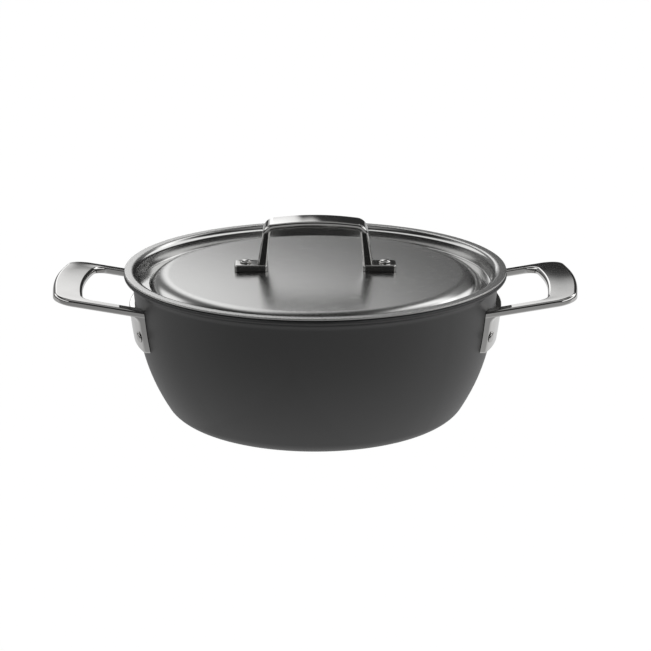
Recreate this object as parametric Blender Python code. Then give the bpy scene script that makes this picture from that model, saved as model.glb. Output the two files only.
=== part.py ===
# Conical saucepan: a hard-anodised aluminium pot with a flared lip, two cast steel loop handles
# riveted to its side, and a pressed steel lid with a riveted bridge handle.
# Metres, +Z up, +X along the two side handles, origin at the centre of the base.

import math

import bmesh
import bpy
from mathutils import Matrix, Vector

# Pot body
POT_HEIGHT = 0.0985  # hob to the top of the lip
BASE_RADIUS = 0.086  # flat that stands on the hob
MOUTH_RADIUS = 0.1221  # outside of the side, where the lip starts to flare
HEEL_RADIUS = 0.017  # bend from the base into the side
HEEL_ANGLE = 59.0  # degrees from level where the heel ends
HEEL_PULL = 0.0365  # how far the heel's slope carries up the side
SIDE_ANGLE = 84.3  # degrees from level under the lip
SIDE_PULL = 0.0275  # how far the slope under the lip carries down the side
WALL_THICKNESS = 0.003
FLOOR_THICKNESS = 0.005
LIP_BEND = 0.0058  # outer radius of the flare
LIP_ANGLE = 12.0  # degrees from level at the end of the flare

# Steel disc in the base, for induction hobs
DISC_RADIUS = 0.076
DISC_THICKNESS = 0.0008

# Lid
SHEET = 0.0012  # pressed sheet
BRIM_INSET = 0.0004  # the lip shows this far past the brim
BRIM_BEND = 0.0045  # bend from the brim into the plug
BRIM_WIDTH = 0.0079  # brim's edge to the corner of that bend
LID_PLAY = 0.0006  # plug to the inside of the mouth
GROOVE_DEPTH = 0.0098  # below the top of the brim
GROOVE_WIDTH = 0.0053
GROOVE_CORNER = 0.0009
SHOULDER_RUN = 0.0028  # how far the shoulder leans in
SHOULDER_BEND = 0.0078
PANEL_DROP = 0.0039  # edge of the panel below the top of the brim
PANEL_CROWN = 0.0020

# Lid handle
BRIDGE_HEIGHT = 0.0349  # bottom of the feet to the top of the bar
BRIDGE_DEPTH = 0.0200  # of the bar, front to back
BRIDGE_THICKNESS = 0.0043
BRIDGE_CROWN = 0.0040  # peak of the two slopes that the crown rounds off
BRIDGE_CROWN_RADIUS = 0.200
BRIDGE_SHOULDER = 0.0340  # middle to the outer corner, before its rounding
BRIDGE_BEND = 0.0082  # that rounding
BRIDGE_INNER_BEND = 0.0025
BRIDGE_EDGE = 0.0012
LEG_OUTSIDE = 0.0390  # middle to the outside of each leg, at its foot
LEG_INSIDE_LOW = 0.0322  # middle to the inside of each leg, at its foot
LEG_INSIDE_HIGH = 0.0297  # the same under the bar
LEG_DEPTH = 0.0128  # front to back at the foot
FOOT_INSIDE = 0.0317
FOOT_OUTSIDE = 0.0540
FOOT_DEPTH = 0.0154
FOOT_HEIGHT = 0.0042
FOOT_CORNER = 0.0020
FOOT_CHAMFER = 0.0011

# Side handles
HANDLE_REACH = 0.1741  # pot's axis to the tip of the grip
HANDLE_TOP = 0.0824  # top of the legs at the side of the pot
HANDLE_RISE = 9.9  # degrees
HANDLE_THICKNESS = 0.0045
GRIP_WIDTH = 0.0190
GRIP_HALF = 0.0494  # middle of the loop to its outside, at the grip
ROOT_HALF = 0.0496  # the same at the pot
LEG_WIDTH = 0.0078
GRIP_BOW = 0.0065  # the grip's ends lie this far behind the peak that BOW_RADIUS rounds off
BOW_RADIUS = 0.200
OUTER_CORNER = 0.0145
INNER_CORNER = 0.009
EDGE_CHAMFER = 0.0009
GRIP_CHAMFER = 0.0024  # along the grip's inner edge, where fingers go
LOOP_START = -0.022  # the loop is drawn from this far inside the pot, then cut to its side
HOLE_START = -0.016

# Plate of each side handle
PLATE_THICKNESS = 0.0036
PLATE_LOW = 0.0540  # height of its lower edge
PLATE_TOP = 0.0772  # height of its upper edge between the legs
PLATE_EDGE = 0.0009
LEG_FILLET = 0.0050  # under each leg
LEG_BLEND = 0.0060  # from each leg into the lower band between them

# Rivets
RIVET_SPREAD = 0.0448  # handle rivets from the middle of the loop
RIVET_HEIGHT = 0.0647
RIVET_SHANK = 0.0025
RIVET_HEAD = 0.0037
RIVET_DOME = 0.0018
RIVET_FLAT = 0.0012  # closed end, inside the pot and under the lid
RIVET_RIM = 0.0003  # upright edge of the dome
LID_RIVET_HEAD = 0.0039
LID_RIVET_INSET = 0.0075  # end of the foot to its rivet

# Clearances
SEAT_GAP = 0.0003
RIVET_GAP = 0.0003
DRILL_REACH = 0.010  # helpers that cut the rivet holes run this far past each face

# Facets
TURNS = 60
RIVET_TURNS = 14
SMOOTH_ANGLE = 35.0  # edges sharper than this are shaded as edges
HEEL_STEPS = 3
SIDE_STEPS = 8
FLARE_STEPS = 4


def clear_scene():
    for thing in list(bpy.data.objects):
        bpy.data.objects.remove(thing, do_unlink=True)


def material(name, colour, roughness, metallic):
    made = bpy.data.materials.new(name)
    made.use_nodes = True
    shader = made.node_tree.nodes["Principled BSDF"]
    shader.inputs["Base Color"].default_value = (*colour, 1.0)
    shader.inputs["Roughness"].default_value = roughness
    shader.inputs["Metallic"].default_value = metallic
    made.diffuse_color = (*colour, 1.0)
    return made


# Curves in a vertical half plane, as (radius, height, slope in radians) points


def bend(start, end_slope, radius, steps):
    """An arc that leaves start along its slope and turns to end_slope."""
    r, z, slope = start
    side = radius if end_slope > slope else -radius
    centre_r, centre_z = r - side * math.sin(slope), z + side * math.cos(slope)
    points = []
    for step in range(1, steps + 1):
        turned = slope + (end_slope - slope) * step / steps
        points.append((centre_r + side * math.sin(turned), centre_z - side * math.cos(turned), turned))
    return points


def easing(start, end, pull_start, pull_end, steps):
    """A Bezier curve that keeps the slope of both its ends."""
    first, last = Vector(start[:2]), Vector(end[:2])
    second = first + pull_start * Vector((math.cos(start[2]), math.sin(start[2])))
    third = last - pull_end * Vector((math.cos(end[2]), math.sin(end[2])))
    points = []
    for step in range(1, steps + 1):
        t = step / steps
        s = 1 - t
        place = s**3 * first + 3 * s * s * t * second + 3 * s * t * t * third + t**3 * last
        along = s * s * (second - first) + 2 * s * t * (third - second) + t * t * (last - third)
        points.append((place.x, place.y, math.atan2(along.y, along.x)))
    return points


def shifted(curve, distance):
    """The curve moved to its left; distance may be one length or one for each point."""
    gaps = distance if isinstance(distance, list) else [distance] * len(curve)
    return [(r - gap * math.sin(a), z + gap * math.cos(a), a) for (r, z, a), gap in zip(curve, gaps)]


def rounded(corners, steps):
    """A path through (x, y, radius) corners, with each corner that has a radius made an arc."""
    path = []
    for index, (x, y, radius) in enumerate(corners):
        corner = Vector((x, y))
        if not radius:
            path.append(corner)
            continue
        back = (Vector(corners[index - 1][:2]) - corner).normalized()
        ahead = (Vector(corners[index + 1][:2]) - corner).normalized()
        half = back.angle(ahead) / 2
        reach = radius / math.tan(half)
        centre = corner + (back + ahead).normalized() * radius / math.sin(half)
        first, last = corner + back * reach - centre, corner + ahead * reach - centre
        sweep = first.angle_signed(last)
        for step in range(steps + 1):
            turn = Matrix.Rotation(-sweep * step / steps, 2)
            path.append(centre + turn @ first)
    return path


def normals(path, closed):
    """Unit normals to the left of the path, lengthened at corners so that offsets stay parallel."""
    count = len(path)
    found = []
    for index, point in enumerate(path):
        sides = []
        if closed or index > 0:
            sides.append(point - path[index - 1])
        if closed or index < count - 1:
            sides.append(path[(index + 1) % count] - point)
        units = [Vector((-side.y, side.x)).normalized() for side in sides]
        middle = sum(units, Vector((0, 0))).normalized()
        found.append(middle / max(middle.dot(units[0]), 0.3))
    return found


# Meshes


def add_object(name, bm, finish, parent=None):
    bmesh.ops.recalc_face_normals(bm, faces=bm.faces)
    mesh = bpy.data.meshes.new(name)
    bm.to_mesh(mesh)
    bm.free()
    made = bpy.data.objects.new(name, mesh)
    bpy.context.scene.collection.objects.link(made)
    if finish:
        mesh.materials.append(finish)
        soften(mesh)
    made.parent = parent
    return made


def soften(mesh):
    mesh.shade_smooth()
    mesh.set_sharp_from_angle(angle=math.radians(SMOOTH_ANGLE))


def turned(name, profile, finish, turns=TURNS, parent=None):
    """A solid turned about Z from (radius, height) points that start and end on the axis."""
    bm = bmesh.new()
    points = [bm.verts.new((point[0], 0, point[1])) for point in profile]
    edges = [bm.edges.new(pair) for pair in zip(points, points[1:])]
    bmesh.ops.spin(
        bm, geom=points + edges, cent=(0, 0, 0), axis=(0, 0, 1), angle=math.tau, steps=turns, use_merge=True
    )
    bmesh.ops.remove_doubles(bm, verts=bm.verts, dist=1e-6)
    return add_object(name, bm, finish, parent)


def bridged(name, loops, finish, closed=False, parent=None):
    """A solid that runs through loops of as many points each; closed joins the last to the first."""
    bm = bmesh.new()
    rings = [[bm.verts.new(point) for point in loop] for loop in loops]
    pairs = list(zip(rings, rings[1:]))
    if closed:
        pairs.append((rings[-1], rings[0]))
    for near, far in pairs:
        for index in range(len(near)):
            after = (index + 1) % len(near)
            bm.faces.new((near[index], near[after], far[after], far[index]))
    if not closed:
        bm.faces.new(rings[0])
        bm.faces.new(rings[-1])
    return add_object(name, bm, finish, parent)


def combine(body, others, operation):
    """Adds or cuts each helper, then drops the helpers and shades the result."""
    for helper in others:
        helper.hide_render = True
        helper.display_type = "WIRE"
        change = body.modifiers.new(helper.name, "BOOLEAN")
        change.operation = operation
        change.solver = "EXACT"
        change.object = helper
    bpy.context.view_layer.update()
    result = bpy.data.meshes.new_from_object(body.evaluated_get(bpy.context.evaluated_depsgraph_get()))
    body.modifiers.clear()
    body.data = result
    result.name = body.name
    soften(result)
    for helper in others:
        bpy.data.objects.remove(helper, do_unlink=True)


# The side of the pot, from the flat of the base up to the end of the flare


def side_curve():
    heel_start = (BASE_RADIUS, 0.0, 0.0)
    heel = bend(heel_start, math.radians(HEEL_ANGLE), HEEL_RADIUS, HEEL_STEPS)
    lip_slope, side_slope = math.radians(LIP_ANGLE), math.radians(SIDE_ANGLE)
    flare_rise = LIP_BEND * (math.cos(lip_slope) - math.cos(side_slope))
    lip_top = WALL_THICKNESS / 2 * (1 + math.cos(lip_slope))
    flare_start = (MOUTH_RADIUS, POT_HEIGHT - lip_top - flare_rise, side_slope)
    side = easing(heel[-1], flare_start, HEEL_PULL, SIDE_PULL, SIDE_STEPS)
    return [heel_start] + heel + side + bend(flare_start, lip_slope, LIP_BEND, FLARE_STEPS)


SIDE = side_curve()
LIP_RADIUS = SIDE[-1][0] + WALL_THICKNESS / 2 * (1 - math.sin(math.radians(LIP_ANGLE)))
MOUTH_INSIDE = MOUTH_RADIUS - WALL_THICKNESS
BRIM_TOP = POT_HEIGHT + SEAT_GAP + SHEET


def side_at(height, out=0.0):
    """Radius of the pot's outside at a height, or of a surface out from it."""
    curve = shifted(SIDE, -out)
    for (r0, z0, _), (r1, z1, _) in zip(curve, curve[1:]):
        if z0 <= height <= z1:
            return r0 + (r1 - r0) * (height - z0) / (z1 - z0)
    return curve[0][0]


def side_slope_at(height):
    step = 0.002
    return math.atan2(2 * step, side_at(height + step) - side_at(height - step))


def make_pot(finish):
    share = [min(index / HEEL_STEPS, 1) for index in range(len(SIDE))]
    wall = [FLOOR_THICKNESS + (WALL_THICKNESS - FLOOR_THICKNESS) * part for part in share]
    inside = shifted(SIDE, wall)
    nose = bend(SIDE[-1], math.radians(LIP_ANGLE + 180), WALL_THICKNESS / 2, 4)[:-1]
    recess_radius, recess_depth = DISC_RADIUS + SEAT_GAP, DISC_THICKNESS + SEAT_GAP
    base = [(recess_radius, 0), (recess_radius, recess_depth), (0, recess_depth)]
    profile = [(0, FLOOR_THICKNESS)] + inside + nose[::-1] + SIDE[::-1] + base
    return turned("pot_body", profile, finish)


def make_base_disc(finish):
    edge = DISC_THICKNESS / 4
    profile = [
        (0, DISC_THICKNESS),
        (DISC_RADIUS - edge, DISC_THICKNESS),
        (DISC_RADIUS, DISC_THICKNESS - edge),
        (DISC_RADIUS, edge),
        (DISC_RADIUS - edge, 0),
        (0, 0),
    ]
    return turned("base_disc", profile, finish)


# Side handles


def rivet_frame(side, end):
    """Axes of a handle rivet: origin on the outside of the pot, Z square to its side, outwards."""
    radius = side_at(RIVET_HEIGHT)
    spread = end * RIVET_SPREAD
    across = math.sqrt(radius * radius - spread * spread)
    turn = math.atan2(spread, side * across)
    tilt = math.pi - side_slope_at(RIVET_HEIGHT)
    place = Matrix.Translation((side * across, spread, RIVET_HEIGHT))
    return place @ Matrix.Rotation(turn, 4, "Z") @ Matrix.Rotation(tilt, 4, "Y")


def pin(name, frame, radius, low, high):
    """A plain cylinder along a frame's Z, used as a drill."""
    profile = [(0, high), (radius, high), (radius, low), (0, low)]
    made = turned(name, profile, None, RIVET_TURNS)
    made.matrix_world = frame
    return made


def leg_root_across():
    """Across the pot's axis to where the middle of a leg meets the side."""
    radius, middle = side_at(HANDLE_TOP), ROOT_HALF - LEG_WIDTH / 2
    return math.sqrt(radius * radius - middle * middle)


def loop_frame():
    """Axes of the loop: origin on its top face at the pot, X out along the rise, Z square to the top face."""
    place = Matrix.Translation((leg_root_across(), 0, HANDLE_TOP))
    return place @ Matrix.Rotation(math.radians(-HANDLE_RISE), 4, "Y")


def loop_outline(tip, grip_half, root_half, corner, back):
    """Plan of the loop's outside or of its hole; back is where it ends, inside the pot."""
    corners = [
        (back, -root_half, 0),
        (tip - GRIP_BOW, -grip_half, corner),
        (tip, 0, BOW_RADIUS),
        (tip - GRIP_BOW, grip_half, corner),
        (back, root_half, 0),
    ]
    return rounded(corners, 5)


def make_loop(name, finish):
    peak = BOW_RADIUS * (math.hypot(1, GRIP_BOW / GRIP_HALF) - 1)
    tip = (HANDLE_REACH - leg_root_across()) / math.cos(math.radians(HANDLE_RISE)) + peak
    outside = loop_outline(tip, GRIP_HALF, ROOT_HALF, OUTER_CORNER, LOOP_START)
    hole_tip = tip - GRIP_WIDTH
    hole = loop_outline(hole_tip, GRIP_HALF - LEG_WIDTH, ROOT_HALF - LEG_WIDTH, INNER_CORNER, HOLE_START)
    outside_in, hole_in = normals(outside, True), normals(hole, True)

    def hole_chamfer(point):
        start = hole_tip - GRIP_BOW - INNER_CORNER
        share = min(max((point.x - start) / INNER_CORNER, 0), 1)
        return EDGE_CHAMFER + (GRIP_CHAMFER - EDGE_CHAMFER) * share

    def outer_loop(inset, depth):
        return [(*(point + inset * side), -depth) for point, side in zip(outside, outside_in)]

    def hole_loop(width, drop):
        return [
            (*(point - width(point) * side), -drop(point)) for point, side in zip(hole, hole_in)
        ]

    low = HANDLE_THICKNESS - EDGE_CHAMFER
    loops = [
        outer_loop(EDGE_CHAMFER, 0),
        outer_loop(0, EDGE_CHAMFER),
        outer_loop(0, low),
        outer_loop(EDGE_CHAMFER, HANDLE_THICKNESS),
        hole_loop(lambda point: EDGE_CHAMFER, lambda point: HANDLE_THICKNESS),
        hole_loop(lambda point: 0, lambda point: low),
        hole_loop(lambda point: 0, hole_chamfer),
        hole_loop(hole_chamfer, lambda point: 0),
    ]
    made = bridged(name, loops, finish, closed=True)
    made.data.transform(loop_frame())
    return made


def plate_section(across, blend, inset):
    """Section of the plate in the plane y = across; blend runs from 0 between the legs to 1 under a leg."""
    rise = math.tan(math.radians(HANDLE_RISE))
    leg_foot = math.sqrt(side_at(PLATE_TOP, SEAT_GAP + PLATE_THICKNESS) ** 2 - across * across)
    under = HANDLE_TOP - HANDLE_THICKNESS + rise * (leg_foot - leg_root_across())
    fillet_low = under - LEG_FILLET
    low = PLATE_LOW + inset
    edge = PLATE_EDGE
    corner = math.sqrt(0.5)
    shared = [(-edge, low), (-edge * (1 - corner), low + edge * (1 - corner)), (0, low + edge)]
    middle = (low + fillet_low) / 2
    under_leg = shared + [(0, middle), (0, fillet_low)]
    for angle in (30, 55, 75, 95):
        turn = math.radians(angle)
        height = (LEG_FILLET + rise * LEG_FILLET) * math.sin(turn)
        under_leg.append((LEG_FILLET * (1 - math.cos(turn)), fillet_low + height))
    under_leg.append((LEG_FILLET, under + HANDLE_THICKNESS / 2))
    band_top = PLATE_TOP - edge
    between = shared + [(0, middle), (0, fillet_low - edge)]
    between += [(0, fillet_low - edge + (band_top - fillet_low + edge) * part) for part in (0.4, 0.8)]
    between += [(0, band_top), (-edge * (1 - corner), PLATE_TOP - edge * (1 - corner)), (-edge, PLATE_TOP)]
    face = []
    for (far, leg_z), (near, band_z) in zip(under_leg, between):
        z = band_z + (leg_z - band_z) * blend
        out = near + (far - near) * blend - inset
        face.append((side_at(min(z, PLATE_TOP), SEAT_GAP + PLATE_THICKNESS) + out, z))
    buried = -WALL_THICKNESS / 2
    top = face[-1][1]
    back = [(side_at(z, buried), z) for z in (top, (top + low) / 2, low)]
    return [(math.sqrt(r * r - across * across), across, z) for r, z in face + back]


def make_plate(name):
    leg_inside = ROOT_HALF - LEG_WIDTH
    half = [(ROOT_HALF, 1, PLATE_EDGE), (ROOT_HALF - PLATE_EDGE, 1, 0), (leg_inside + LEG_WIDTH / 2, 1, 0)]
    for share in (0, 0.33, 0.67, 1):
        blend = (1 - share) ** 2
        half.append((leg_inside - LEG_BLEND * share, blend, 0))
    half += [((leg_inside - LEG_BLEND) * part, 0, 0) for part in (0.75, 0.5, 0.25)]
    stations = half + [(0, 0, 0)] + [(-across, blend, inset) for across, blend, inset in reversed(half)]
    loops = [plate_section(*station) for station in stations]
    return bridged(name, loops, None)


def pot_envelope():
    outside = shifted(SIDE, -SEAT_GAP)
    profile = [(0, POT_HEIGHT)] + [(outside[-1][0], POT_HEIGHT)] + outside[::-1] + [(0, outside[0][1])]
    return turned("pot_envelope", profile, None, TURNS * 2)


def make_handle(name, side, finish):
    handle = make_loop(name, finish)
    combine(handle, [make_plate("plate")], "UNION")
    drill = RIVET_SHANK + RIVET_GAP
    high = PLATE_THICKNESS + DRILL_REACH
    drills = [pin("drill", rivet_frame(1, end), drill, -DRILL_REACH, high) for end in (-1, 1)]
    combine(handle, [pot_envelope()] + drills, "DIFFERENCE")
    if side < 0:
        handle.rotation_euler.z = math.pi
    return handle


def rivet(name, grip, head, finish):
    """A set rivet about Z: domed head at the top, shank through a grip of (low, high), closed end below."""
    low, high = grip
    dome = []
    for step in range(4):
        angle = math.radians(90 - 25 * step)
        dome.append((head * math.cos(angle), high + RIVET_RIM + (RIVET_DOME - RIVET_RIM) * math.sin(angle)))
    profile = dome + [
        (head, high + RIVET_RIM),
        (head, high),
        (RIVET_SHANK, high),
        (RIVET_SHANK, low),
        (head - RIVET_RIM, low),
        (head - RIVET_RIM, low - RIVET_RIM),
        (head - RIVET_FLAT, low - RIVET_FLAT),
        (0, low - RIVET_FLAT),
    ]
    return turned(name, profile, finish, RIVET_TURNS)


def make_handle_rivets(finish):
    grip = (-WALL_THICKNESS - SEAT_GAP, PLATE_THICKNESS + 2 * SEAT_GAP)
    for side, side_name in ((-1, "left"), (1, "right")):
        for end, end_name in ((-1, "front"), (1, "back")):
            made = rivet(f"handle_rivet_{side_name}_{end_name}", grip, RIVET_HEAD, finish)
            made.matrix_world = rivet_frame(side, end)


def drill_pot(pot):
    drill = RIVET_SHANK + RIVET_GAP
    frames = [rivet_frame(side, end) for side in (-1, 1) for end in (-1, 1)]
    drills = [pin("drill", frame, drill, -DRILL_REACH, WALL_THICKNESS) for frame in frames]
    combine(pot, drills, "DIFFERENCE")


# Lid, in its own frame: the origin is on the pot's axis, level with the top of the lip


LID_BRIM_TOP = BRIM_TOP - POT_HEIGHT
PANEL_TOP = LID_BRIM_TOP - PANEL_DROP + PANEL_CROWN
PLUG_RADIUS = MOUTH_INSIDE - LID_PLAY - SHEET
PANEL_RADIUS = PLUG_RADIUS - GROOVE_WIDTH - SHOULDER_RUN


def panel_at(radius):
    """Height of the crowned panel's top face."""
    return PANEL_TOP - PANEL_CROWN * (radius / PANEL_RADIUS) ** 2


def lid_top_path():
    edge = LIP_RADIUS - BRIM_INSET
    groove = LID_BRIM_TOP - GROOVE_DEPTH
    panel = [Vector((0, panel_at(0)))]
    crown_end = PANEL_RADIUS - SHOULDER_BEND
    panel += [Vector((crown_end * part, panel_at(crown_end * part))) for part in (0.33, 0.67)]
    corners = [
        (crown_end, panel_at(crown_end), 0),
        (PANEL_RADIUS, panel_at(PANEL_RADIUS), SHOULDER_BEND),
        (PLUG_RADIUS - GROOVE_WIDTH, groove, GROOVE_CORNER),
        (PLUG_RADIUS, groove, GROOVE_CORNER),
        (edge - BRIM_WIDTH, LID_BRIM_TOP, BRIM_BEND),
        (edge - SHEET / 2, LID_BRIM_TOP, 0),
    ]
    return panel + rounded(corners, 2)


def make_lid_cover(finish, parent):
    top = lid_top_path()
    under = [point - SHEET * side for point, side in zip(top, normals(top, False))]
    middle = LID_BRIM_TOP - SHEET / 2
    turns = [math.radians(angle) for angle in (45, 90, 135)]
    rim = [Vector((top[-1].x + SHEET / 2 * math.sin(a), middle + SHEET / 2 * math.cos(a))) for a in turns]
    profile = top + rim + under[::-1]
    profile[-1].x = 0
    return turned("lid_cover", profile, finish, TURNS, parent)


def lid_rivet_places():
    across = FOOT_OUTSIDE - LID_RIVET_INSET
    return [(-across, "left"), (across, "right")]


def arch_paths():
    """Front views of the outside and the inside, from leg to leg; both end inside the feet."""
    fall = BRIDGE_CROWN / BRIDGE_SHOULDER
    stretch = math.hypot(1, fall)
    peak = BRIDGE_HEIGHT + BRIDGE_CROWN_RADIUS * (stretch - 1)
    under = peak - BRIDGE_THICKNESS * stretch
    low = FOOT_HEIGHT / 2
    outside = [(LEG_OUTSIDE, low, 0), (BRIDGE_SHOULDER, peak - fall * BRIDGE_SHOULDER, BRIDGE_BEND)]
    inside = [(LEG_INSIDE_LOW, low, 0), (LEG_INSIDE_HIGH, under - fall * LEG_INSIDE_HIGH, BRIDGE_INNER_BEND)]
    tops = (0, peak, BRIDGE_CROWN_RADIUS), (0, under, BRIDGE_CROWN_RADIUS - BRIDGE_THICKNESS)
    paths = []
    for corners, top in zip((outside, inside), tops):
        mirrored = [(-x, z, radius) for x, z, radius in reversed(corners)]
        paths.append(rounded(corners + [top] + mirrored, 5))
    return paths


def make_arch(name, finish, parent):
    outer, inner = arch_paths()
    from_outer, from_inner = normals(outer, False), normals(inner, False)
    for end in (from_outer[0], from_outer[-1], from_inner[0], from_inner[-1]):
        end.y = 0
    leg_top = BRIDGE_HEIGHT - BRIDGE_BEND
    edge = BRIDGE_EDGE
    loops = []
    for outside, inside, drop, rise in zip(outer, inner, from_outer, from_inner):
        share = min(max((outside.y - FOOT_HEIGHT) / (leg_top - FOOT_HEIGHT), 0), 1)
        half = (LEG_DEPTH + (BRIDGE_DEPTH - LEG_DEPTH) * share) / 2
        over, below = outside + edge * drop, inside - edge * rise
        front = [(inside, edge - half), (below, -half), (over, -half), (outside, edge - half)]
        back = [(place, -across) for place, across in reversed(front)]
        loops.append([(place.x, across, place.y) for place, across in front + back])
    return bridged(name, loops, finish, parent=parent)


def make_foot(name, side, parent):
    """A block whose underside slopes with the panel."""
    near, far, half = FOOT_INSIDE, FOOT_OUTSIDE, FOOT_DEPTH / 2
    cut = FOOT_CORNER
    plan = [(near + cut, -half), (far - cut, -half), (far, -half + cut), (far, half - cut)]
    plan += [(far - cut, half), (near + cut, half), (near, half - cut), (near, -half + cut)]
    plan = [Vector(corner) for corner in plan]
    inwards = normals(plan, True)
    slope = (panel_at(far) - panel_at(near)) / (far - near)
    loops = [[(side * corner.x, corner.y, slope * (corner.x - near)) for corner in plan]]
    for inset, height in ((0, FOOT_HEIGHT - FOOT_CHAMFER), (FOOT_CHAMFER, FOOT_HEIGHT)):
        ring = [corner + inset * inward for corner, inward in zip(plan, inwards)]
        loops.append([(side * corner.x, corner.y, height) for corner in ring])
    return bridged(name, loops, None, parent=parent)


def make_lid_handle(finish, parent):
    handle = make_arch("lid_handle", finish, parent)
    feet = [make_foot("left_foot", -1, parent), make_foot("right_foot", 1, parent)]
    combine(handle, feet, "UNION")
    handle.location.z = panel_at(FOOT_INSIDE) + SEAT_GAP
    drills = []
    for across, _ in lid_rivet_places():
        frame = parent.matrix_world @ Matrix.Translation((across, 0, handle.location.z))
        drills.append(pin("drill", frame, RIVET_SHANK + RIVET_GAP, -DRILL_REACH, DRILL_REACH))
    combine(handle, drills, "DIFFERENCE")
    return handle


def make_lid_rivets(cover, finish, parent):
    seat = panel_at(FOOT_INSIDE)
    drills = []
    for across, name in lid_rivet_places():
        under = panel_at(across) - seat - SHEET - SEAT_GAP
        grip = (under, FOOT_HEIGHT + 2 * SEAT_GAP)
        made = rivet(f"lid_rivet_{name}", grip, LID_RIVET_HEAD, finish)
        made.parent = parent
        made.location = (across, 0, seat)
        frame = parent.matrix_world @ Matrix.Translation((across, 0, seat))
        drills.append(pin("drill", frame, RIVET_SHANK + RIVET_GAP, -DRILL_REACH, DRILL_REACH))
    combine(cover, drills, "DIFFERENCE")


def main():
    clear_scene()
    anodised = material("hard_anodised", (0.040, 0.040, 0.042), 0.5, 0.4)
    polished = material("polished_steel", (0.62, 0.61, 0.60), 0.12, 1.0)
    brushed = material("brushed_steel", (0.58, 0.58, 0.57), 0.3, 1.0)
    disc_steel = material("disc_steel", (0.50, 0.50, 0.50), 0.35, 1.0)
    rivet_steel = material("rivet_steel", (0.60, 0.60, 0.59), 0.2, 1.0)

    pot = make_pot(anodised)
    make_base_disc(disc_steel)
    make_handle("side_handle_left", -1, polished)
    make_handle("side_handle_right", 1, polished)
    make_handle_rivets(rivet_steel)
    drill_pot(pot)

    lid_axis = bpy.data.objects.new("lid_axis", None)
    lid_axis.location.z = POT_HEIGHT
    bpy.context.scene.collection.objects.link(lid_axis)
    bpy.context.view_layer.update()
    cover = make_lid_cover(brushed, lid_axis)
    make_lid_handle(polished, lid_axis)
    make_lid_rivets(cover, rivet_steel, lid_axis)


main()
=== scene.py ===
import math

import bmesh
import bpy
from mathutils import Matrix, Vector
from mathutils.geometry import interpolate_bezier


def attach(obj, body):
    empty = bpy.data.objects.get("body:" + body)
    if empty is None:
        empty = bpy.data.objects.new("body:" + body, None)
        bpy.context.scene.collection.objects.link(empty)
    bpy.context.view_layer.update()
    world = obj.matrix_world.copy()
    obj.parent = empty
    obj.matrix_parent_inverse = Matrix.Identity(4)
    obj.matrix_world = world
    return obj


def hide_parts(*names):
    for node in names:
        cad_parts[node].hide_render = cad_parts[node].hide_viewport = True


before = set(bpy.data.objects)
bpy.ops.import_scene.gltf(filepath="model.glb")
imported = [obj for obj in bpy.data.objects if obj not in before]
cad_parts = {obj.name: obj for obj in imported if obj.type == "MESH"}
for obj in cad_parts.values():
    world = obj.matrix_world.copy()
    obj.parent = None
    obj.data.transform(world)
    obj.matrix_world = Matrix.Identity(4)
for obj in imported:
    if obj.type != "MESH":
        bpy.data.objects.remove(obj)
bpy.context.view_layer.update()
print("frame loaded,", len(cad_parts), "nodes")


# Mesh helpers, all in metres

tolerance = {"merge": 1e-6, "seam": 1e-5, "ring": 2e-5, "face": 1e-5}
rimTurn = 1.2  # radians: in a pressed sheet only the rim folds sharper than this
sharpest = 0.3  # keeps the sides of a very sharp corner from growing without end
fineTurns = [math.radians(angle) for angle in (0, 22.5, 45, 67.5, 90)]
plateTurns = [0, 0.52, 1.05, math.pi / 2]
arcSegments = 14


def clip(value):
    return min(max(value, 0), 1)


def eased(start, end, share):
    # from start to end, slow at both
    return start + (end - start) * share * share * (3 - 2 * share)


def asObject(name, bm):
    mesh = bpy.data.meshes.new(name)
    bm.to_mesh(mesh)
    bm.free()
    made = bpy.data.objects.new(name, mesh)
    bpy.context.scene.collection.objects.link(made)
    return made


def applyModifiers(piece):
    bpy.context.view_layer.update()
    graph = bpy.context.evaluated_depsgraph_get()
    result = bpy.data.meshes.new_from_object(piece.evaluated_get(graph))
    piece.modifiers.clear()
    piece.data = result
    result.name = piece.name


def addModifier(piece, kind, **settings):
    made = piece.modifiers.new(kind.title(), kind)
    for name, value in settings.items():
        setattr(made, name, value)
    return made


def combine(piece, helper, operation):
    addModifier(piece, "BOOLEAN", operation=operation, solver="EXACT", object=helper)
    applyModifiers(piece)
    bpy.data.objects.remove(helper, do_unlink=True)


def soften(piece, degrees=35):
    piece.data.shade_smooth()
    piece.data.set_sharp_from_angle(angle=math.radians(degrees))
    addModifier(piece, "WEIGHTED_NORMAL", keep_sharp=True, weight=50)


def spin(bm, profile, steps):
    # profile holds (radius, height) corners; the ends may lie on the axis
    verts = [bm.verts.new((r, 0, z)) for r, z in profile]
    edges = [bm.edges.new(pair) for pair in zip(verts, verts[1:])]
    bmesh.ops.spin(
        bm, geom=verts + edges, cent=(0, 0, 0), axis=(0, 0, 1), angle=math.tau, steps=steps, use_merge=True
    )
    bmesh.ops.remove_doubles(bm, verts=bm.verts, dist=tolerance["merge"])
    bmesh.ops.recalc_face_normals(bm, faces=bm.faces)


def roundRing(bm, before, corner, after, radius, segments):
    # bevels the ring that a profile corner makes, so that the arc has this radius
    here = Vector(corner)
    turn = (here - Vector(before)).angle(Vector(after) - here)
    ring = [
        edge
        for edge in bm.edges
        if all((Vector((v.co.xy.length, v.co.z)) - here).length < tolerance["ring"] for v in edge.verts)
    ]
    bevelEdges(bm, ring, radius * math.tan(turn / 2), segments)


def bevelEdges(bm, edges, offset, segments):
    bmesh.ops.bevel(
        bm,
        geom=edges,
        offset=offset,
        offset_type="OFFSET",
        affect="EDGES",
        segments=segments,
        profile=0.5,
        material=-1,
    )


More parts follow.
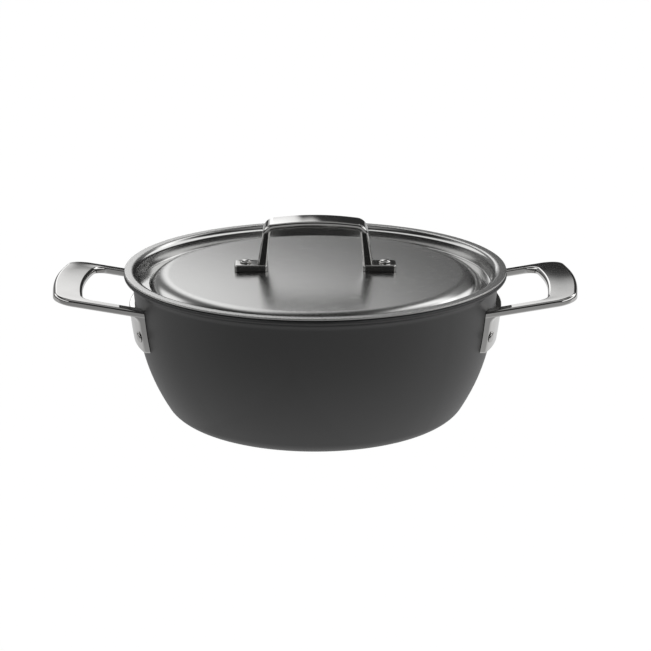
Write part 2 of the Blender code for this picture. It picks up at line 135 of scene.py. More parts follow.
def turned(name, profile, rounding, steps):
    # rounding maps the number of a profile corner to (radius, segments)
    bm = bmesh.new()
    spin(bm, profile, steps)
    for index, (radius, segments) in rounding.items():
        roundRing(bm, profile[index - 1], profile[index], profile[index + 1], radius, segments)
    bmesh.ops.remove_doubles(bm, verts=bm.verts, dist=tolerance["seam"])
    bmesh.ops.recalc_face_normals(bm, faces=bm.faces)
    return asObject(name, bm)


def pressed(name, profile, rounding, steps, thickness, facing, nose):
    # a turned sheet: the profile is the face whose middle looks up (1) or down (-1),
    # and nose is the share of the thickness that rounds its rim
    piece = turned(name, profile, rounding, steps)
    bm = bmesh.new()
    bm.from_mesh(piece.data)
    middle = min(bm.faces, key=lambda face: face.calc_center_median().xy.length)
    if middle.normal.z * facing < 0:
        bmesh.ops.reverse_faces(bm, faces=bm.faces)
    bm.to_mesh(piece.data)
    bm.free()
    addModifier(
        piece, "SOLIDIFY", thickness=thickness, offset=-1, use_even_offset=True, use_quality_normals=True
    )
    applyModifiers(piece)
    bm = bmesh.new()
    bm.from_mesh(piece.data)
    reach = max(vert.co.xy.length for vert in bm.verts) - thickness
    rim = [
        edge
        for edge in bm.edges
        if min(vert.co.xy.length for vert in edge.verts) > reach and edge.calc_face_angle(0) > rimTurn
    ]
    bevelEdges(bm, rim, thickness * nose, 5)
    bm.to_mesh(piece.data)
    bm.free()
    return piece


def loft(name, rings, closed):
    # bridges rings of as many points each, in their order
    bm = bmesh.new()
    loops = []
    for ring in rings:
        verts = [bm.verts.new(point) for point in ring]
        loops.append([bm.edges.new(pair) for pair in zip(verts, verts[1:] + verts[:1])])
    pairs = list(zip(loops, loops[1:]))
    if closed:
        pairs.append((loops[-1], loops[0]))
    else:
        bmesh.ops.contextual_create(bm, geom=loops[0])
        bmesh.ops.contextual_create(bm, geom=loops[-1])
    for near, far in pairs:
        bmesh.ops.bridge_loops(bm, edges=near + far)
    bmesh.ops.recalc_face_normals(bm, faces=bm.faces)
    return asObject(name, bm)


def cornerPath(corners):
    # (x, y, radius) corners joined by lines, each with a radius turned into an arc
    path = []
    for index, (x, y, radius) in enumerate(corners):
        corner = Vector((x, y))
        if not radius:
            path.append(corner)
            continue
        back = (Vector(corners[index - 1][:2]) - corner).normalized()
        ahead = (Vector(corners[index + 1][:2]) - corner).normalized()
        half = back.angle(ahead) / 2
        centre = corner + (back + ahead).normalized() * radius / math.sin(half)
        first = corner + back * radius / math.tan(half) - centre
        last = corner + ahead * radius / math.tan(half) - centre
        sweep = first.angle_signed(last)
        for step in range(arcSegments + 1):
            path.append(centre + Matrix.Rotation(-sweep * step / arcSegments, 2) @ first)
    return path


def leftSides(path, closed):
    # unit vectors to the left of a flat path, longer at corners
    sides = []
    for index, point in enumerate(path):
        steps = []
        if closed or index > 0:
            steps.append(point - path[index - 1])
        if closed or index < len(path) - 1:
            steps.append(path[(index + 1) % len(path)] - point)
        units = [Vector((-step.y, step.x)).normalized() for step in steps]
        middle = sum(units, Vector((0, 0))).normalized()
        sides.append(middle / max(middle.dot(units[0]), sharpest))
    return sides


# Materials


class Wire:
    # a socket of a node tree that takes part in sums
    def __init__(self, tree, socket=None):
        self.tree = tree
        self.socket = socket

    def node(self, kind, settings=None, sockets=None, output=0):
        made = self.tree.nodes.new(kind)
        for name, value in (settings or {}).items():
            setattr(made, name, value)
        for name, value in (sockets or {}).items():
            self.feed(made.inputs[name], value)
        return Wire(self.tree, made.outputs[output])

    def beside(self, output):
        # another output of the same node
        return Wire(self.tree, self.socket.node.outputs[output])

    def feed(self, target, value):
        if isinstance(value, Wire):
            self.tree.links.new(value.socket, target)
        else:
            target.default_value = value

    def maths(self, operation, first, second=0.0):
        return self.node("ShaderNodeMath", {"operation": operation}, {0: first, 1: second})

    def __add__(self, other):
        return self.maths("ADD", self, other)

    def __radd__(self, other):
        return self.maths("ADD", other, self)

    def __sub__(self, other):
        return self.maths("SUBTRACT", self, other)

    def __rsub__(self, other):
        return self.maths("SUBTRACT", other, self)

    def __mul__(self, other):
        return self.maths("MULTIPLY", self, other)

    def __rmul__(self, other):
        return self.maths("MULTIPLY", other, self)

    def clamped(self, low, high):
        # 0 at low, 1 at high, smooth between them
        settings = {"interpolation_type": "SMOOTHSTEP"}
        return self.node("ShaderNodeMapRange", settings, {"Value": self, "From Min": low, "From Max": high})

    def tones(self, dark, light):
        # this value mixes two colours, which are the sockets 6 and 7
        sockets = {0: self, 6: (*dark, 1), 7: (*light, 1)}
        return self.node("ShaderNodeMix", {"data_type": "RGBA"}, sockets, output=2)


def newMaterial(name):
    made = bpy.data.materials.new(name)
    made.use_nodes = True
    tree = made.node_tree
    return made, tree.nodes["Principled BSDF"], Wire(tree)


def place(wire, scale=(1, 1, 1)):
    # object coordinates in metres, stretched by scale
    here = wire.node("ShaderNodeTexCoord", output="Object")
    if scale == (1, 1, 1):
        return here
    return wire.node("ShaderNodeMapping", {}, {"Vector": here, "Scale": scale})


def axes(wire, where):
    # a vector's x, y and z
    split = wire.node("ShaderNodeSeparateXYZ", {}, {0: where})
    return [split.beside(axis) for axis in "XYZ"]


def noise(wire, where, scale, detail):
    return wire.node("ShaderNodeTexNoise", {}, {"Vector": where, "Scale": scale, "Detail": detail})


def radiusOf(wire):
    # distance from the pot's axis
    flat = place(wire, (1, 1, 0))
    return wire.node("ShaderNodeVectorMath", {"operation": "LENGTH"}, {0: flat}, output="Value")


def raised(wire, shader, height, look):
    # height stands out from the surface as a fine relief
    sockets = {"Strength": look["relief"], "Distance": look["reliefDepth"], "Height": height}
    wire.feed(shader.inputs["Normal"], wire.node("ShaderNodeBump", {}, sockets))


anodised = {
    "dark": (0.0145, 0.0145, 0.0149),
    "light": (0.0205, 0.0203, 0.0207),
    "grain": 2600,
    "cloud": 22,
    "smoothest": 0.38,
    "grainRoughness": 0.06,
    "cloudRoughness": 0.04,
    "relief": 0.12,
    "reliefDepth": 0.00004,
    "specular": 0.7,
}


def hardAnodised():
    made, shader, wire = newMaterial("hardAnodised")
    grain = noise(wire, place(wire), anodised["grain"], 3)
    cloud = noise(wire, place(wire), anodised["cloud"], 3)
    mottle = grain * 0.6 + cloud * 0.4
    wire.feed(shader.inputs["Base Color"], mottle.tones(anodised["dark"], anodised["light"]))
    rough = anodised["smoothest"] + grain * anodised["grainRoughness"] + cloud * anodised["cloudRoughness"]
    wire.feed(shader.inputs["Roughness"], rough)
    raised(wire, shader, grain, anodised)
    shader.inputs["Specular IOR Level"].default_value = anodised["specular"]
    return made


polish = {
    "dark": (0.52, 0.515, 0.505),
    "light": (0.66, 0.655, 0.645),
    "cloud": 60,
    "scratches": 900,
    "scratchStretch": (1, 9, 9),
    "smoothest": 0.04,
    "scratchRoughness": 0.02,
    "cloudRoughness": 0.01,
    "relief": 0.02,
    "reliefDepth": 0.00002,
}


def polishedSteel(name):
    made, shader, wire = newMaterial(name)
    cloud = noise(wire, place(wire), polish["cloud"], 3)
    scratches = noise(wire, place(wire, polish["scratchStretch"]), polish["scratches"], 2)
    wire.feed(shader.inputs["Base Color"], cloud.tones(polish["dark"], polish["light"]))
    rough = polish["smoothest"] + scratches * polish["scratchRoughness"] + cloud * polish["cloudRoughness"]
    wire.feed(shader.inputs["Roughness"], rough)
    raised(wire, shader, scratches, polish)
    shader.inputs["Metallic"].default_value = 1.0
    return made


# the pressed band between the lid's panel and its brim is smoother than both
satin = {
    "dark": (0.48, 0.48, 0.475),
    "light": (0.50, 0.498, 0.492),
    "brushed": 4200,
    "brushStretch": (0.03, 1, 1),
    "cloud": 14,
    "flatRoughness": 0.27,
    "pressedRoughness": 0.15,
    "brushRoughness": 0.02,
    "panelEdge": (0.0985, 0.1085),
    "brimStart": (0.1205, 0.1225),
}


def satinSteel():
    made, shader, wire = newMaterial("satinSteel")
    brushed = noise(wire, place(wire, satin["brushStretch"]), satin["brushed"], 3)
    cloud = noise(wire, place(wire), satin["cloud"], 2)
    radius = radiusOf(wire)
    band = radius.clamped(*satin["panelEdge"]) * (1 - radius.clamped(*satin["brimStart"]))
    mottle = brushed * 0.5 + cloud * 0.5
    wire.feed(shader.inputs["Base Color"], mottle.tones(satin["dark"], satin["light"]))
    flat = satin["flatRoughness"] - satin["brushRoughness"] / 2 + brushed * satin["brushRoughness"]
    step = satin["pressedRoughness"] - satin["flatRoughness"]
    wire.feed(shader.inputs["Roughness"], flat + band * step)
    shader.inputs["Metallic"].default_value = 1.0
    return made


discLook = {
    "dark": (0.36, 0.36, 0.355),
    "light": (0.56, 0.555, 0.55),
    "rings": 3000,
    "scuffs": 35,
    "smoothest": 0.26,
    "ringRoughness": 0.12,
    "scuffRoughness": 0.05,
    "relief": 0.15,
    "reliefDepth": 0.00003,
}


def discSteel():
    made, shader, wire = newMaterial("discSteel")
    rings = noise(wire, radiusOf(wire), discLook["rings"], 2)
    scuffs = noise(wire, place(wire), discLook["scuffs"], 4)
    mottle = rings * 0.6 + scuffs * 0.4
    wire.feed(shader.inputs["Base Color"], mottle.tones(discLook["dark"], discLook["light"]))
    rough = discLook["smoothest"] + rings * discLook["ringRoughness"] + scuffs * discLook["scuffRoughness"]
    wire.feed(shader.inputs["Roughness"], rough)
    raised(wire, shader, rings, discLook)
    shader.inputs["Metallic"].default_value = 1.0
    return made


def finishPiece(piece, material, body, nodes):
    piece.data.materials.clear()
    piece.data.materials.append(material)
    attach(piece, body)
    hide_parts(*nodes)


# Pot: one turned shell, flat base, rounded heel, side that straightens upwards, flared lip

pot = {
    "height": 0.0985,
    "baseRadius": 0.086,
    "heelRadius": 0.017,
    "heelAngle": 59.0,
    "heelPull": 0.0365,
    "mouthRadius": 0.1221,
    "sideAngle": 84.3,
    "sidePull": 0.0275,
    "wall": 0.003,
    "floor": 0.005,
    "floorPast": 0.008,
    "lipBend": 0.0058,
    "lipAngle": 12.0,
    "lipReach": 0.485,
    "lipNose": 0.46,
    "recessRadius": 0.0763,
    "recessDepth": 0.0011,
    "turns": 192,
}


def along(angle):
    return Vector((math.cos(math.radians(angle)), math.sin(math.radians(angle))))


def curve(start, startPull, endPull, end, count):
    # points of a flat Bezier curve
    knots = [knot.to_3d() for knot in (start, startPull, endPull, end)]
    return [point.xy for point in interpolate_bezier(*knots, count)]


def potProfile():
    # corners of the outside: heel, side, flare and the end of the lip
    heelReach = pot["heelRadius"] * math.tan(math.radians(pot["heelAngle"] / 2))
    heel = Vector((pot["baseRadius"] + heelReach, 0))
    turn = math.radians(pot["sideAngle"] - pot["lipAngle"])
    flareReach = pot["lipBend"] * math.tan(turn / 2)
    lipDrop = pot["wall"] / 2 * (1 + math.cos(math.radians(pot["lipAngle"])))
    rise = (along(pot["sideAngle"]) + along(pot["lipAngle"])).y * flareReach
    flareStart = Vector((pot["mouthRadius"], pot["height"] - lipDrop - rise))
    flare = flareStart + along(pot["sideAngle"]) * flareReach
    lip = flare + along(pot["lipAngle"]) * (flareReach + pot["wall"] * pot["lipReach"])
    heelEnd = heel + along(pot["heelAngle"]) * heelReach
    lowPull = heelEnd + along(pot["heelAngle"]) * pot["heelPull"]
    highPull = flareStart - along(pot["sideAngle"]) * pot["sidePull"]
    return heel, curve(heelEnd, lowPull, highPull, flareStart, 24), flare, lip


heelCorner, sidePoints, flareCorner, lipEnd = potProfile()


def sideRadius(height, out=0.0):
    # radius of the pot's outside at a height, or of a surface out from it
    for low, high in zip(sidePoints, sidePoints[1:]):
        if low.y <= height <= high.y:
            share = (height - low.y) / (high.y - low.y)
            slope = math.atan2(high.y - low.y, high.x - low.x)
            return low.x + (high.x - low.x) * share + out / math.sin(slope)
    return sidePoints[-1].x + out


def sideSlope(height):
    step = 0.002
    return math.atan2(2 * step, sideRadius(height + step) - sideRadius(height - step))


# Rivets: domed outside, closed flat inside

rivet = {
    "spread": 0.0448,
    "height": 0.0647,
    "lidAcross": 0.0465,
    "shank": 0.0025,
    "head": 0.0037,
    "lidHead": 0.0039,
    "dome": 0.0018,
    "flat": 0.0012,
    "rim": 0.0003,
    "gap": 0.0003,
    "drill": 0.012,
    "turns": 40,
    "drillTurns": 32,
}


def drillAt(where):
    # a plain bar along the Z of where, to cut a rivet's hole
    reach, radius = rivet["drill"], rivet["shank"] + rivet["gap"]
    profile = [(0, -reach), (radius, -reach), (radius, reach), (0, reach)]
    bar = turned("drill", profile, {}, rivet["drillTurns"])
    bar.data.transform(where)
    return bar


def drillLidRivets(piece):
    for side in (-1, 1):
        where = Matrix.Translation((side * rivet["lidAcross"], 0, lid["brimTop"]))
        combine(piece, drillAt(where), "DIFFERENCE")


def handleRivetFrame(side, end):
    # origin on the outside of the pot, Z square to its side
    radius = sideRadius(rivet["height"])
    across = math.sqrt(radius * radius - rivet["spread"] ** 2)
    turn = math.atan2(end * rivet["spread"], side * across)
    where = Matrix.Translation((side * across, end * rivet["spread"], rivet["height"]))
    tilt = Matrix.Rotation(math.pi - sideSlope(rivet["height"]), 4, "Y")
    return where @ Matrix.Rotation(turn, 4, "Z") @ tilt


def rivetMesh(name, low, high, head):
    # a rivet along Z that clamps from low, the closed end, to high, under the head
    rim, dome, flat, shank = rivet["rim"], rivet["dome"], rivet["flat"], rivet["shank"]
    turns = [math.radians(angle) for angle in range(0, 91, 10)]
    profile = [(head * math.sin(turn), high + rim + (dome - rim) * math.cos(turn)) for turn in turns]
    profile += [(head, high), (shank, high), (shank, low), (head - rim, low)]
    profile += [(head - rim, low - rim), (head - flat, low - flat), (0, low - flat)]
    return turned(name, profile, {}, rivet["turns"])


def makePot():
    profile = [(0, 0), (pot["recessRadius"], 0), tuple(heelCorner)]
    profile += [tuple(point) for point in sidePoints] + [tuple(flareCorner), tuple(lipEnd)]
    flare = len(profile) - 2
    rounding = {2: (pot["heelRadius"], 12), flare: (pot["lipBend"], 10)}
    piece = pressed("potShell", profile, rounding, pot["turns"], pot["wall"], -1, pot["lipNose"])
    bm = bmesh.new()
    bm.from_mesh(piece.data)
    inner, reach = pot["wall"] * 0.8, pot["baseRadius"] + pot["floorPast"]
    for vert in bm.verts:  # the floor is thicker than the side
        if inner < vert.co.z < pot["floor"] and vert.co.xy.length < reach:
            vert.co.z = pot["floor"]
    base = []
    for face in bm.faces:
        centre = face.calc_center_median()
        if abs(centre.z) < tolerance["face"] and centre.xy.length < pot["recessRadius"]:
            base.append(face)
    lifted = bmesh.ops.extrude_face_region(bm, geom=base)["geom"]
    lifted = [part for part in lifted if isinstance(part, bmesh.types.BMVert)]
    bmesh.ops.translate(bm, vec=(0, 0, pot["recessDepth"]), verts=lifted)
    bmesh.ops.delete(bm, geom=[face for face in base if face.is_valid], context="FACES")
    bmesh.ops.recalc_face_normals(bm, faces=bm.faces)
    bm.to_mesh(piece.data)
    bm.free()
    for side in (-1, 1):
        for end in (-1, 1):
            combine(piece, drillAt(handleRivetFrame(side, end)), "DIFFERENCE")
    soften(piece)
    finishPiece(piece, hardAnodised(), "pot", ["pot_body"])


makePot()
print("pot made")


# Lid: one pressed sheet with brim, plug wall, groove, rolled shoulder and crowned panel

lid = {
    "sheet": 0.0012,
    "rimNose": 0.25,
    "brimTop": 0.1000,
    "brimEdge": 0.12745,
    "brimWidth": 0.0079,
    "brimBend": 0.0045,
    "plugRadius": 0.1173,
    "grooveDepth": 0.0098,
    "grooveWidth": 0.0053,
    "grooveCorner": 0.0009,
    "grooveInside": 0.1110,
    "shoulderRun": 0.0028,
    "rollStart": 0.0975,
    "rollPull": 0.0048,
    "rollFoot": (0.1104, 0.0908),
    "rollSlope": 53,
    "footPull": 0.0050,
    "panelDrop": 0.0039,
    "panelCrown": 0.0020,
    "turns": 192,
}
panelRadius = lid["plugRadius"] - lid["grooveWidth"] - lid["shoulderRun"]


def panelHeight(radius):
    return lid["brimTop"] - lid["panelDrop"] + lid["panelCrown"] * (1 - (radius / panelRadius) ** 2)


def makeLid():
    low, reach = lid["brimTop"] - lid["grooveDepth"], lid["rollStart"]
    profile = [(reach * share, panelHeight(reach * share)) for share in (0, 0.2, 0.4, 0.6, 0.8)]
    crownSlope = Vector((1, -2 * lid["panelCrown"] * reach / panelRadius**2)).normalized()
    first, last = Vector((reach, panelHeight(reach))), Vector(lid["rollFoot"])
    slope = math.radians(lid["rollSlope"])
    upward = Vector((-math.cos(slope), math.sin(slope)))
    firstPull, lastPull = first + crownSlope * lid["rollPull"], last + upward * lid["footPull"]
    profile += [tuple(point) for point in curve(first, firstPull, lastPull, last, 16)]
    corner = len(profile)
    profile += [(lid["grooveInside"], low), (lid["plugRadius"], low)]
    profile += [(lid["brimEdge"] - lid["brimWidth"], lid["brimTop"]), (lid["brimEdge"], lid["brimTop"])]
    rounding = {
        corner: (lid["grooveCorner"], 5),
        corner + 1: (lid["grooveCorner"], 5),
        corner + 2: (lid["brimBend"], 10),
    }
    piece = pressed("lidSheet", profile, rounding, lid["turns"], lid["sheet"], 1, lid["rimNose"])
    drillLidRivets(piece)
    soften(piece)
    finishPiece(piece, satinSteel(), "lid", ["lid_cover"])


makeLid()
print("lid made")


# Lid handle: a cast bridge with two block feet

bridge = {
    "height": 0.0349,
    "depth": 0.0200,
    "thickness": 0.0043,
    "crown": 0.0040,
    "crownRadius": 0.200,
    "shoulder": 0.0340,
    "bend": 0.0082,
    "innerBend": 0.0025,
    "edge": 0.0014,
    "legOutside": 0.0390,
    "legInsideLow": 0.0322,
    "legInsideHigh": 0.0297,
    "legDepth": 0.0128,
    "lean": 0.016,
    "gap": 0.0003,
}
foot = {
    "inside": 0.0317,
    "outside": 0.0540,
    "depth": 0.0154,
    "height": 0.0042,
    "corner": 0.0020,
    "chamfer": 0.0011,
}
bridgeSeat = panelHeight(foot["inside"]) + bridge["gap"]


def bridgePaths():
    # front views of the outside and the inside, from the right foot to the left one
    fall = bridge["crown"] / bridge["shoulder"]
    stretch = math.hypot(1, fall)
    peak = bridge["height"] + bridge["crownRadius"] * (stretch - 1)
    under = peak - bridge["thickness"] * stretch
    low, shoulder, corner = foot["height"] / 2, bridge["shoulder"], bridge["legInsideHigh"]
    outside = [(bridge["legOutside"], low, 0), (shoulder, peak - fall * shoulder, bridge["bend"])]
    inside = [(bridge["legInsideLow"], low, 0), (corner, under - fall * corner, bridge["innerBend"])]
    tops = (0, peak, bridge["crownRadius"]), (0, under, bridge["crownRadius"] - bridge["thickness"])
    paths = []
    for corners, top in zip((outside, inside), tops):
        mirrored = [(-x, z, radius) for x, z, radius in reversed(corners)]
        paths.append(cornerPath(corners + [top] + mirrored))
    return paths


def makeArch():
    # cross-sections along the bar and both legs, each with four rounded edges
    outer, inner = bridgePaths()
    fromOuter, fromInner = leftSides(outer, False), leftSides(inner, False)
    for end in (fromOuter[0], fromOuter[-1], fromInner[0], fromInner[-1]):
        end.y = 0
    edge, legTop = bridge["edge"], bridge["height"] - bridge["bend"]
    steps = [(edge * (1 - math.cos(turn)), edge * (1 - math.sin(turn))) for turn in fineTurns]
    rings = []
    for outside, inside, drop, rise in zip(outer, inner, fromOuter, fromInner):
        share = clip((outside.y - foot["height"]) / (legTop - foot["height"]))
        half = (bridge["legDepth"] + (bridge["depth"] - bridge["legDepth"]) * share) / 2
        back = [(outside + down * drop, half - narrower) for down, narrower in steps]
        back += [(inside - up * rise, half - narrower) for up, narrower in reversed(steps)]
        front = [(spot, -across) for spot, across in reversed(back)]
        lean = bridge["lean"] * clip((outside.y - legTop) / bridge["bend"])  # the bar's top, to the front
        ring = back + front
        rings.append([(spot.x, y, spot.y + bridgeSeat + lean * (y - half)) for spot, y in ring])
    return loft("lidBridge", rings, closed=False)


def makeFoot(side):
    # a block whose underside follows the panel
    bm = bmesh.new()
    bmesh.ops.create_cube(bm, size=1)
    span = foot["outside"] - foot["inside"]
    for vert in bm.verts:
        vert.co = Vector((foot["inside"] + span * (vert.co.x + 0.5), foot["depth"] * vert.co.y, vert.co.z))
    upright = [edge for edge in bm.edges if abs(edge.verts[0].co.z - edge.verts[1].co.z) > 0.5]
    bevelEdges(bm, upright, foot["corner"], 4)
    for vert in bm.verts:
        under = panelHeight(vert.co.x) + bridge["gap"]
        vert.co.z = bridgeSeat + foot["height"] if vert.co.z > 0 else under
        vert.co.x *= side
    bmesh.ops.recalc_face_normals(bm, faces=bm.faces)
    top = bridgeSeat + foot["height"] - tolerance["face"]
    topEdges = [edge for edge in bm.edges if min(vert.co.z for vert in edge.verts) > top]
    bevelEdges(bm, topEdges, foot["chamfer"], 3)
    return asObject("foot", bm)


def makeBridge():
    piece = makeArch()
    for side in (-1, 1):
        combine(piece, makeFoot(side), "UNION")
    drillLidRivets(piece)
    soften(piece)
    finishPiece(piece, polishedSteel("polishedSteel"), "lid", ["lid_handle"])


makeBridge()
print("lid handle made")


# Side handles: a bowed loop that rises outwards, joined to a plate that follows the pot's side

loop = {
    "reach": 0.1740,
    "top": 0.0824,
    "rise": 9.9,
    "thickness": 0.0045,
    "gripWidth": 0.0190,
    "gripHalf": 0.0494,
    "rootHalf": 0.0496,
    "legWidth": 0.0078,
    "bow": 0.0065,
    "bowRadius": 0.200,
    "outerCorner": 0.0145,
    "innerCorner": 0.009,
    "edge": 0.0009,
    "gripEdge": 0.0024,
    "legEdge": 0.0016,
    "tipEdge": 0.0020,
    "gripCrown": 0.00035,
    "loopStart": -0.022,
    "holeStart": -0.016,
    "dish": 0.00002,
    "sharp": 32,
}
plate = {
    "thickness": 0.0036,
    "low": 0.0540,
    "top": 0.0772,
    "edge": 0.0009,
    "legFillet": 0.0050,
    "legBlend": 0.0060,
    "gap": 0.0003,
    "tuck": 0.0002,
    "trimOut": 0.004,
    "trimUp": 0.01,
    "trimTurns": 256,
}


def legRoot():
    # how far out a leg's middle meets the pot
    radius, middle = sideRadius(loop["top"]), loop["rootHalf"] - loop["legWidth"] / 2
    return math.sqrt(radius * radius - middle * middle)


def loopOutline(tip, gripHalf, rootHalf, corner, start):
    corners = [
        (start, -rootHalf, 0),
        (tip - loop["bow"], -gripHalf, corner),
        (tip, 0, loop["bowRadius"]),
        (tip - loop["bow"], gripHalf, corner),
        (start, rootHalf, 0),
    ]
    return cornerPath(corners)


def edgeRings(path, sides, radii, face, steps):
    # rings that round one edge of the loop; a step says how far one lies to the left and off the face
    rings = []
    for left, off in steps:
        spots = zip(path, sides, radii)
        rings.append([(*(spot + radius * left * side), face + radius * off) for spot, side, radius in spots])
    return rings


def makeLoop(name):
    peak = loop["bowRadius"] * (math.hypot(1, loop["bow"] / loop["gripHalf"]) - 1)
    tip = (loop["reach"] - legRoot()) / math.cos(math.radians(loop["rise"])) + peak
    holeTip = tip - loop["gripWidth"]
    gripHalf, rootHalf, inset = loop["gripHalf"], loop["rootHalf"], loop["legWidth"]
    outside = loopOutline(tip, gripHalf, rootHalf, loop["outerCorner"], loop["loopStart"])
    hole = loopOutline(holeTip, gripHalf - inset, rootHalf - inset, loop["innerCorner"], loop["holeStart"])
    outsideIn, holeIn = leftSides(outside, True), leftSides(hole, True)
    edge, thick, dish = loop["edge"], loop["thickness"], loop["dish"]
    plain, outer, inner = [edge] * len(outside), [], []
    for point in outside:
        share = clip((point.x - holeTip) / (loop["gripWidth"] - loop["outerCorner"]))
        outer.append(eased(loop["legEdge"], loop["tipEdge"], share))
    gripStart = holeTip - loop["bow"] - loop["innerCorner"]
    for point in hole:
        share = clip((point.x - gripStart) / loop["innerCorner"])
        inner.append(eased(edge, loop["gripEdge"], share))
    # along a quarter turn one amount grows from 0 to 1 while the other falls back to 0;
    # the hole's edges lie a hair inside the flat faces, which tells bridge_loops the way round
    steps = [(1 - math.cos(turn), 1 - math.sin(turn)) for turn in fineTurns]
    rings = edgeRings(outside, outsideIn, outer, 0, [(fall, -grow) for grow, fall in steps])
    rings += edgeRings(outside, outsideIn, plain, -thick, steps)
    rings += edgeRings(hole, holeIn, plain, dish - thick, [(-fall, grow) for grow, fall in steps])
    rings += edgeRings(hole, holeIn, inner, -dish, [(-grow, -fall) for grow, fall in steps])
    piece = loft(name, rings, closed=True)
    for vert in piece.data.vertices:
        onGrip = clip((vert.co.x - holeTip) / loop["gripWidth"] + 1)
        vert.co.z -= loop["gripCrown"] * onGrip * (vert.co.y / gripHalf) ** 2
    tilt = Matrix.Rotation(math.radians(-loop["rise"]), 4, "Y")
    piece.data.transform(Matrix.Translation((legRoot(), 0, loop["top"])) @ tilt)
    return piece


def plateSection(across, blend, inset):
    # the plate cut at y = across; blend runs from 0 between the legs to 1 under a leg
    out, reach = plate["gap"] + plate["thickness"], plate["legFillet"]
    rise = math.tan(math.radians(loop["rise"]))
    legFoot = math.sqrt(sideRadius(plate["top"], out) ** 2 - across * across)
    under = loop["top"] - loop["thickness"] + rise * (legFoot - legRoot())
    filletLow = under - reach
    low, edge = plate["low"] + inset, plate["edge"]
    bandTop = plate["top"] - edge
    shared = [(-edge * (1 - math.sin(turn)), low + edge * (1 - math.cos(turn))) for turn in plateTurns]
    underLeg = shared + [(0, low + (filletLow - low) * share) for share in (0.3, 0.65, 1)]
    for turn in [math.radians(angle) for angle in (20, 40, 60, 80, 95)]:
        underLeg.append((reach * (1 - math.cos(turn)), filletLow + (reach + rise * reach) * math.sin(turn)))
    underLeg.append((reach, under + loop["thickness"] / 2))
    between = shared + [(0, low + (filletLow - low) * share) for share in (0.3, 0.6, 0.85)]
    between += [(0, filletLow + (bandTop - filletLow) * share) for share in (0.1, 0.5, 1)]
    between += [(-edge * (1 - math.cos(turn)), bandTop + edge * math.sin(turn)) for turn in plateTurns[1:]]
    face = []
    for (far, legZ), (near, bandZ) in zip(underLeg, between):
        z = bandZ + (legZ - bandZ) * blend
        face.append((sideRadius(min(z, plate["top"]), out) + near + (far - near) * blend - inset, z))
    top = face[-1][1]
    back = [(sideRadius(z, -pot["wall"] / 2), z) for z in (top, (top + low) / 2, low)]
    return [(math.sqrt(r * r - across * across), across, z) for r, z in face + back]


def makePlate():
    # sections from one end of the plate to the other, as (across, blend, inset)
    end, edge = loop["rootHalf"] - plate["tuck"], plate["edge"]
    half = [(end - edge * (1 - math.cos(turn)), 1, edge * (1 - math.sin(turn))) for turn in plateTurns]
    legInside, blendRun = loop["rootHalf"] - loop["legWidth"], plate["legBlend"]
    half.append((legInside + loop["legWidth"] / 2, 1, 0))
    for share in (0, 0.15, 0.3, 0.5, 0.7, 0.85, 1):
        half.append((legInside - blendRun * share, (1 - share) ** 2, 0))
    half += [((legInside - blendRun) * share, 0, 0) for share in (0.84, 0.68, 0.52, 0.36, 0.18)]
    stations = half + [(0, 0, 0)] + [(-across, blend, inset) for across, blend, inset in reversed(half)]
    return loft("plate", [plateSection(*station) for station in stations], closed=False)


def makeEnvelope():
    # the pot's outside plus the clearance, filled, to trim the handle
    wide, high = flareCorner.x + plate["trimOut"], pot["height"] + plate["trimUp"]
    profile = [(0, 0)] + [(point.x + plate["gap"], point.y) for point in sidePoints]
    profile += [(wide, flareCorner.y), (wide, high), (0, high)]
    return turned("envelope", profile, {}, plate["trimTurns"])


def makeSideHandle(name, side, material):
    piece = makeLoop(name)
    combine(piece, makePlate(), "UNION")
    for end in (-1, 1):
        combine(piece, drillAt(handleRivetFrame(1, end)), "DIFFERENCE")
    combine(piece, makeEnvelope(), "DIFFERENCE")
    if side < 0:
        piece.data.transform(Matrix.Rotation(math.pi, 4, "Z"))
    soften(piece, loop["sharp"])
    node = "side_handle_left" if side < 0 else "side_handle_right"
    finishPiece(piece, material, "pot", [node])


castSteel = polishedSteel("castSteel")
makeSideHandle("leftHandle", -1, castSteel)
makeSideHandle("rightHandle", 1, castSteel)
print("side handles made")


# Rivets in place, and the base disc


def makeRivets(material):
    low, high = -pot["wall"] - plate["gap"], plate["thickness"] + 2 * plate["gap"]
    for side, sideName in ((-1, "left"), (1, "right")):
        for end, endName in ((-1, "front"), (1, "back")):
            piece = rivetMesh(f"{sideName}{endName.title()}Rivet", low, high, rivet["head"])
            piece.data.transform(handleRivetFrame(side, end))
            soften(piece)
            finishPiece(piece, material, "pot", [f"handle_rivet_{sideName}_{endName}"])
    seat = panelHeight(foot["inside"])
    under = panelHeight(rivet["lidAcross"]) - seat - lid["sheet"] - plate["gap"]
    over = foot["height"] + 2 * bridge["gap"]
    for side, sideName in ((-1, "left"), (1, "right")):
        piece = rivetMesh(f"lid{sideName.title()}Rivet", under, over, rivet["lidHead"])
        piece.data.transform(Matrix.Translation((side * rivet["lidAcross"], 0, seat)))
        soften(piece)
        finishPiece(piece, material, "lid", [f"lid_rivet_{sideName}"])


makeRivets(polishedSteel("rivetSteel"))

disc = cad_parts["base_disc"]
disc.data.materials.clear()
disc.data.materials.append(discSteel())
print("rivets and disc made")


# Camera: 1.4 m away, 16.4 degrees above level, straight on

camera = {
    "distance": 1.4,
    "elevation": 16.4,
    "pixels": 651,
    "pixel": 0.6764e-3,
    "right": 10,
    "up": 12,
    "focus": 0.05,
    "sensor": 36.0,
}


